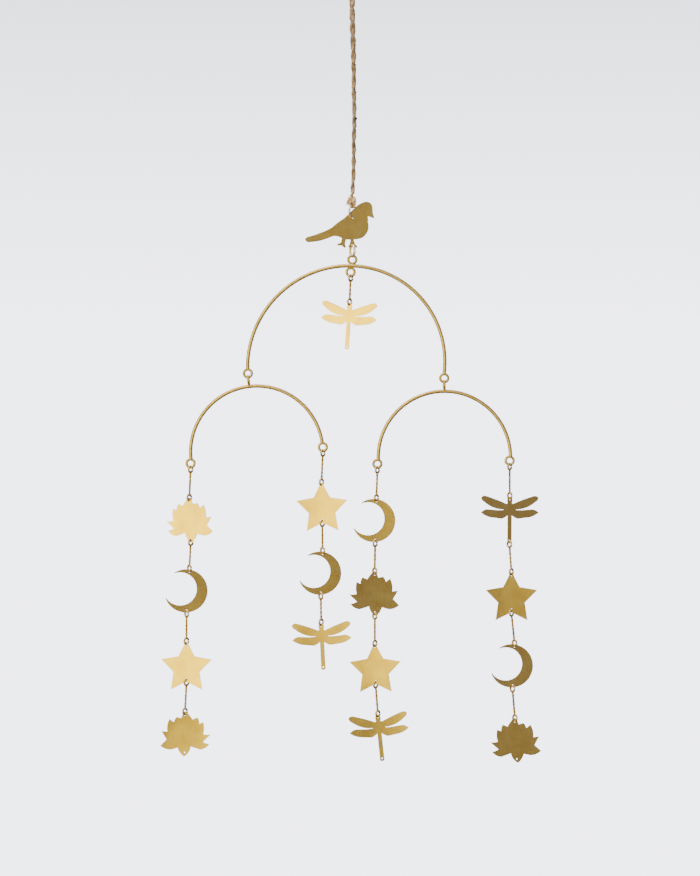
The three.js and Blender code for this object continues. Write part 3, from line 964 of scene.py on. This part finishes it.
# Radius, half of the bent angle, tilt (top to the right), how far round the arch its hanging ring
# sits from the middle, how much the bend swells on the right and flattens on the left, the hanging
# ring's turn, and how far to the right the two end rings sit off the wire's ends.
archValues = {
    "large": {
        "radius": 78.8, "half": 94.2, "tilt": 1.4, "hang": 2, "swell": 1.1, "ringTurn": 0,
        "endShift": (0, 0.4),
    },
    "left": {
        "radius": 52.9, "half": 88.9, "tilt": -7, "hang": 0.4, "swell": 0, "ringTurn": 90,
        "endShift": (-0.7, 0),
    },
    "right": {
        "radius": 52.9, "half": 90.4, "tilt": -1.4, "hang": 1.4, "swell": 0, "ringTurn": 90,
        "endShift": (-0.9, -0.8),
    },
    "innerRingHang": 1.3,
    "steps": 110,
    "wireSides": 20,
    "wireWider": 0.6,  # the wire is drawn this much thicker, so that it shows
    "solder": 1.0,  # size of the blob at each brazed joint
    "endBlob": (1.35, 1.1, 0.8),
    "topBlob": (1.5, 1, 0.7),
    "edgeOnBlob": (1, 1.5, 0.7),
}


def addSolder(parts, joint, shape, seed):
    addBlob(parts, joint, [archValues["solder"] * scale for scale in archValues[shape]], 1, seed)


def makeArch(name, values, hang, hasInnerRing):
    # Makes an arch that hangs from the top of its own ring, and gives the centres of its low rings.
    matrix = Matrix.Translation(hang) @ Matrix.Rotation(math.radians(values["tilt"]), 4, "Y")
    ringReach = ringRadius + ringWire / 2 + archWire / 2 - brazing
    lean = math.radians(values["hang"])
    centre = Vector((
        -values["radius"] * math.sin(lean), 0,
        -ringRadius - ringReach - values["radius"] * math.cos(lean),
    ))

    def onArch(angle, inwards=0):
        turned = math.radians(angle)
        reach = values["radius"] + values["swell"] * math.sin(2 * turned) - inwards
        return centre + reach * Vector((math.sin(turned), 0, math.cos(turned)))

    half = values["half"]
    ends = []
    for side, shift in zip((-1, 1), values["endShift"]):
        along = Vector((side * math.cos(math.radians(half)), 0, -math.sin(math.radians(half))))
        ends.append(onArch(side * half) + along * ringRadius + Vector((shift, 0, 0)))
    parts = MeshParts()
    steps = archValues["steps"]
    wire = [onArch(half * (2 * i / steps - 1)) for i in range(steps + 1)]
    parts.tube(wire, (archWire + archValues["wireWider"]) / 2, archValues["wireSides"])
    addRing(parts, ringRadius, ringWire, values["ringTurn"], Vector((0, 0, -ringRadius)), 2)
    for end in ends:
        addRing(parts, ringRadius, ringWire, 0, end, 2)
    onWire = archWire / 2 - brazing / 3  # a blob sits this far from the wire's middle
    topShape = "edgeOnBlob" if values["ringTurn"] == 90 else "topBlob"
    addSolder(parts, onArch(values["hang"], -onWire), topShape, 3)
    for end, side in zip(ends, (-1, 1)):
        joint = onArch(side * half).lerp(end + Vector((0, 0, ringRadius)), 0.5)
        addSolder(parts, joint, "endBlob", 5 + side)
    inner = None
    if hasInnerRing:
        inner = onArch(archValues["innerRingHang"], ringReach)
        addRing(parts, ringRadius, ringWire, 0, inner, 2)
        addSolder(parts, onArch(archValues["innerRingHang"], onWire), "topBlob", 9)
    parts.points = [matrix @ p for p in parts.points]
    piece = parts.make(name + "Arch", [drawnBrassWire, brassSolder, squeezedBrassWire])
    hand(piece, "brass_rod", "arch_" + name)
    return {
        "left": matrix @ ends[0], "right": matrix @ ends[1],
        "inner": matrix @ inner if inner else None,
    }


large = makeArch("large", archValues["large"], hangPoint, True)
smallDrop = Vector((0, 0, ringWire + play - ringRadius))
left = makeArch("left", archValues["left"], large["left"] + smallDrop, False)
right = makeArch("right", archValues["right"], large["right"] + smallDrop, False)
print("arches made")

# Strands of chain and plates.

# For each plate from the top: its shape, the drop of the chain above it, the chain's lean to the
# right, the plate's tilt (top to the right) and turn (to the left), whether it is turned over, and
# how far the sheet itself is bent round.
strandValues = {
    "middle": [("dragonfly", 19, -2.4, 4, 21, False, 0)],
    "left_outer": [
        ("lotus", 22.6, -2.5, -3.7, 21, True, 0),
        ("moon", 20.6, -2.8, 5.5, -4.5, False, -1.5),
        ("star", 21.7, -0.4, -0.1, 7, False, 0),
        ("lotus", 23.2, -2.9, 1.8, 2.5, False, -2.5),
    ],
    "left_inner": [
        ("star", 23.2, -2.7, -1.4, 6, False, 0.8),
        ("moon", 21.6, 0.6, 4, -4, False, 0),
        ("dragonfly", 20.8, 0.9, -3, 3, False, -0.4),
    ],
    "right_inner": [
        ("moon", 22.3, -1.8, 3.3, 0, False, 0),
        ("lotus", 22.1, -0.9, -1.6, -6, True, 1),
        ("star", 21.9, 0.1, -1.3, 5, False, 0),
        ("dragonfly", 23.2, 4.4, -6, 2, False, -0.3),
    ],
    "right_outer": [
        ("dragonfly", 23.2, 0.3, 0.5, -10, False, 0),
        ("star", 22, 4, -0.2, 1.5, False, 1.4),
        ("moon", 24.1, 5.8, 4.4, -5, False, 0.8),
        ("lotus", 23.4, 4.8, -4.6, -5, True, 2.8),
    ],
}

# Real links are about half as thick and two thirds as wide: drawn larger, so that they show.
chainValues = {
    "pitch": 1.72,
    "wire": 1.0,
    "width": 2.2,
    "overlap": 1.1,  # how much longer a link is than its pitch
    "linkSteps": 20,
    "linkSides": 6,
    "firstTurn": (30, 60),
    "jumpTurn": 52,
    "jumpGap": 9,
    "jumpWider": 0.7,  # jump rings are drawn this much thicker
    "jumpSides": 9,
    "jumpSteps": 30,
    "wander": 9,  # degrees that a link may sit off its quarter turn
    "seed": 21,
}


def addChainLink(parts, centre, along, turn, length, values):
    # One oval link of round wire, turned about the chain's own line.
    side = along.cross(Vector((0, 1, 0))).normalized()
    side = Matrix.Rotation(math.radians(turn), 3, along) @ side
    wire = values["wire"]
    bend = (values["width"] - wire) / 2
    straight = (length - wire) / 2 - bend
    points = []
    for i in range(values["linkSteps"]):
        angle = fullTurn * i / values["linkSteps"]
        lift = straight if math.sin(angle) >= 0 else -straight
        points.append(centre + side * bend * math.cos(angle) + along * (bend * math.sin(angle) + lift))
    parts.tube(points, wire / 2, values["linkSides"], closed=True)


def makeChain(name, node, top, bottom, ringTurns, values, rng):
    # A run of links between two jump rings, each link a quarter turned from the last.
    parts = MeshParts()
    for centre, turn in zip((top, bottom), ringTurns):
        addRing(
            parts, jumpRadius, jumpWire, turn, centre, slot=1, gap=values["jumpGap"],
            sides=values["jumpSides"], steps=values["jumpSteps"], wider=values["jumpWider"],
        )
    run = top - bottom
    along = run.normalized()
    length = values["pitch"] + values["overlap"]
    hook = jumpRadius - jumpWire / 2 - values["wire"] + length / 2
    free = run.length - 2 * hook
    count = round(free / values["pitch"]) + 1
    pitch = free / (count - 1)
    firstTurn = rng.uniform(*values["firstTurn"])
    for i in range(count):
        centre = top - along * (hook + pitch * i)
        turn = firstTurn + 90 * (i % 2) + rng.uniform(-values["wander"], values["wander"])
        addChainLink(parts, centre, along, turn, pitch + values["overlap"], values)
    hand(parts.make(name, [fineChainBrass, squeezedBrassWire]), "brass_wire", node)


def jumpTurnAt(plateTurn):
    # The turn of a jump ring, so that it crosses its plate well.
    return -chainValues["jumpTurn"] if plateTurn < 0 else chainValues["jumpTurn"]


def makePlate(name, node, shape, matrix, flipped, bent, rng):
    # A cut plate with its shape's crown, a small random twist, and its own bend to one side.
    values = plateValues[shape]
    holes = [(x, z, holeRadius) for x, z in values["holes"]]
    crown = values["crown"] * rng.uniform(*bendValues["crownShare"]) * (-1 if flipped else 1)
    twist = rng.uniform(-bendValues["twist"], bendValues["twist"])
    slope = -math.tan(math.radians(bent))

    def bend(x, z):
        across, upright = x / bendValues["acrossAt"], z / bendValues["uprightAt"]
        return slope * x - crown * across ** 2 + twist * across * upright

    hand(plateMesh(name, values["corners"], holes, bend, matrix), "brass_sheet", node)


def makeStrand(strand, rows, ringCentre, rng):
    # Hangs chains and plates in turn, from the centre of a brazed ring down.
    fromRing = ringRadius - ringWire / 2 + jumpRadius - jumpWire / 2 - play
    fromHole = jumpRadius - jumpWire / 2 + holeRadius - play
    words = "".join(word.capitalize() for word in strand.split("_"))
    start, reach, turnAbove = ringCentre.copy(), fromRing, 0
    for i, (shape, drop, lean, tilt, turn, flipped, bent) in enumerate(rows, start=1):
        top = start + Vector((0, 0, -reach))
        down = Vector((math.sin(math.radians(lean)), 0, -math.cos(math.radians(lean))))
        bottom = top + down * drop
        ringTurns = (jumpTurnAt(turnAbove), jumpTurnAt(turn))
        chainName, chainNode = f"chain{words}{i}", f"chain_{strand}_{i}"
        makeChain(chainName, chainNode, top, bottom, ringTurns, chainValues, rng)
        matrix = (
            Matrix.Translation(bottom + Vector((0, 0, -fromHole)))
            @ Matrix.Rotation(math.radians(-turn), 4, "Z") @ Matrix.Rotation(math.radians(tilt), 4, "Y")
        )
        if flipped:
            matrix = matrix @ Matrix.Rotation(math.pi, 4, "Z")
        plateName, plateNode = f"{shape}{words}{i}", f"{shape}_{strand}_{i}"
        makePlate(plateName, plateNode, shape, matrix, flipped, bent, rng)
        (topX, topZ), (lowX, lowZ) = plateValues[shape]["holes"]
        start = matrix @ Vector((lowX - topX, 0, lowZ - topZ))
        reach, turnAbove = fromHole, turn


strandRng = random.Random(chainValues["seed"])
strandStarts = {
    "middle": large["inner"], "left_outer": left["left"], "left_inner": left["right"],
    "right_inner": right["left"], "right_outer": right["right"],
}
for strand, rows in strandValues.items():
    makeStrand(strand, rows, strandStarts[strand], strandRng)
print("strands made")

# Studio.

# Places and sizes here are in metres. Colours of the room run from straight below (0) to above (1).
studioValues = {
    "floorZ": -1.45,
    "floorRadius": 3.2,
    "floorSides": 96,
    "floor": "#f3f5ff",
    "floorShade": "#eef0fa",
    "floorClouds": 9,  # patches of shade for each metre
    "floorGlow": 4.0,
    "background": [(0.0, "#f3f5ff"), (0.52, "#f3f5ff"), (0.59, "#bcbec8")],
    "backgroundStrength": 4.8,
    "reflected": [
        (0.2, "#75798f"), (0.42, "#888fb6"), (0.5, "#888fb6"), (0.6, "#858ccc"), (0.85, "#b4bad8"),
    ],
    "daylight": [(0.0, "#b9bec9"), (1.0, "#b9bec9")],
    "aim": (0, 0, -0.4),
    # The key is yellow to deepen the gold, and lights only the metal.
    "key": {
        "at": (-1.26, -1.8, -0.25), "size": 2.05, "power": 50, "colour": "#fdff39", "for": "metal",
    },
    "side": {
        "at": (-1.5, -1.5, 0.4), "size": 1.2, "power": 30, "colour": "#fff4e6", "for": "matt",
    },
    "top": {
        "at": (-0.5, -0.5, 1.3), "size": 1.2, "power": 30, "colour": "#ffffff", "for": "all",
    },
}


def makeFloor(values):
    # Opal acrylic lit from below, as under small things on sale: pale, with no hard horizon.
    material, tree, shader = newMaterial("litOpalFloor")
    place = addNode(tree, "ShaderNodeTexCoord").outputs["Object"]
    clouds = addNode(
        tree, "ShaderNodeTexNoise", values={"Scale": values["floorClouds"], "Detail": 2.0},
        links={"Vector": place},
    )
    colour = addNode(
        tree, "ShaderNodeValToRGB",
        {"stops": [(0.3, linear(values["floorShade"])), (0.7, linear(values["floor"]))]},
        links={"Fac": clouds.outputs["Fac"]},
    )
    tree.links.new(colour.outputs["Color"], shader.inputs["Base Color"])
    tree.links.new(colour.outputs["Color"], shader.inputs["Emission Color"])
    shader.inputs["Emission Strength"].default_value = values["floorGlow"]
    shader.inputs["Roughness"].default_value = 0.9
    radius, sides = values["floorRadius"], values["floorSides"]
    points = []
    for i in range(sides):
        angle = fullTurn * i / sides
        points.append((radius * math.cos(angle), radius * math.sin(angle), values["floorZ"]))
    mesh = bpy.data.meshes.new("studioFloor")
    mesh.from_pydata(points, [], [tuple(range(sides))])
    mesh.materials.append(material)
    floor = bpy.data.objects.new("studioFloor", mesh)
    bpy.context.scene.collection.objects.link(floor)
    floor.visible_glossy = False  # the brass and the twine don't see its glow
    floor.visible_diffuse = False


def makeSoftbox(name, values, target):
    # A square area light. It can light the metal alone, the matt twine alone, or all.
    light = bpy.data.lights.new(name, "AREA")
    light.shape = "SQUARE"
    light.size = values["size"]
    light.energy = values["power"]
    light.color = linear(values["colour"])[:3]
    holder = bpy.data.objects.new(name, light)
    holder.location = values["at"]
    holder.rotation_euler = (target - holder.location).to_track_quat("-Z", "Y").to_euler()
    holder.visible_diffuse = values["for"] != "metal"
    holder.visible_glossy = values["for"] != "matt"
    bpy.context.scene.collection.objects.link(holder)


def makeBackground(values):
    # The room round the object is dim, so that the brass has something dark to reflect; what is
    # seen straight behind the object is pale.
    world = bpy.data.worlds.new("studio")
    bpy.context.scene.world = world
    world.use_nodes = True
    tree = world.node_tree
    tree.nodes.clear()
    way = addNode(tree, "ShaderNodeTexCoord").outputs["Generated"]
    parts = addNode(tree, "ShaderNodeSeparateXYZ", links={"Vector": way})
    raised = addNode(
        tree, "ShaderNodeMapRange", values={"From Min": -1.0, "From Max": 1.0},
        links={"Value": parts.outputs["Z"]},
    )

    def glow(stops, strength=1.0):
        shade = addNode(
            tree, "ShaderNodeValToRGB", {"stops": [(place, linear(colour)) for place, colour in stops]},
            links={"Fac": raised.outputs["Result"]},
        )
        return addNode(
            tree, "ShaderNodeBackground", values={"Strength": strength},
            links={"Color": shade.outputs["Color"]},
        ).outputs["Background"]

    seen = glow(values["background"], values["backgroundStrength"])
    reflected = glow(values["reflected"])
    daylight = glow(values["daylight"])
    ray = addNode(tree, "ShaderNodeLightPath")
    room = addNode(
        tree, "ShaderNodeMixShader",
        links={"Fac": ray.outputs["Is Glossy Ray"], 1: daylight, 2: reflected},
    )
    mix = addNode(
        tree, "ShaderNodeMixShader",
        links={"Fac": ray.outputs["Is Camera Ray"], 1: room.outputs["Shader"], 2: seen},
    )
    addNode(tree, "ShaderNodeOutputWorld", links={"Surface": mix.outputs["Shader"]})


makeFloor(studioValues)
for lightName in ("key", "side", "top"):
    makeSoftbox(lightName + "Softbox", studioValues[lightName], Vector(studioValues["aim"]))
makeBackground(studioValues)
print("studio lit")
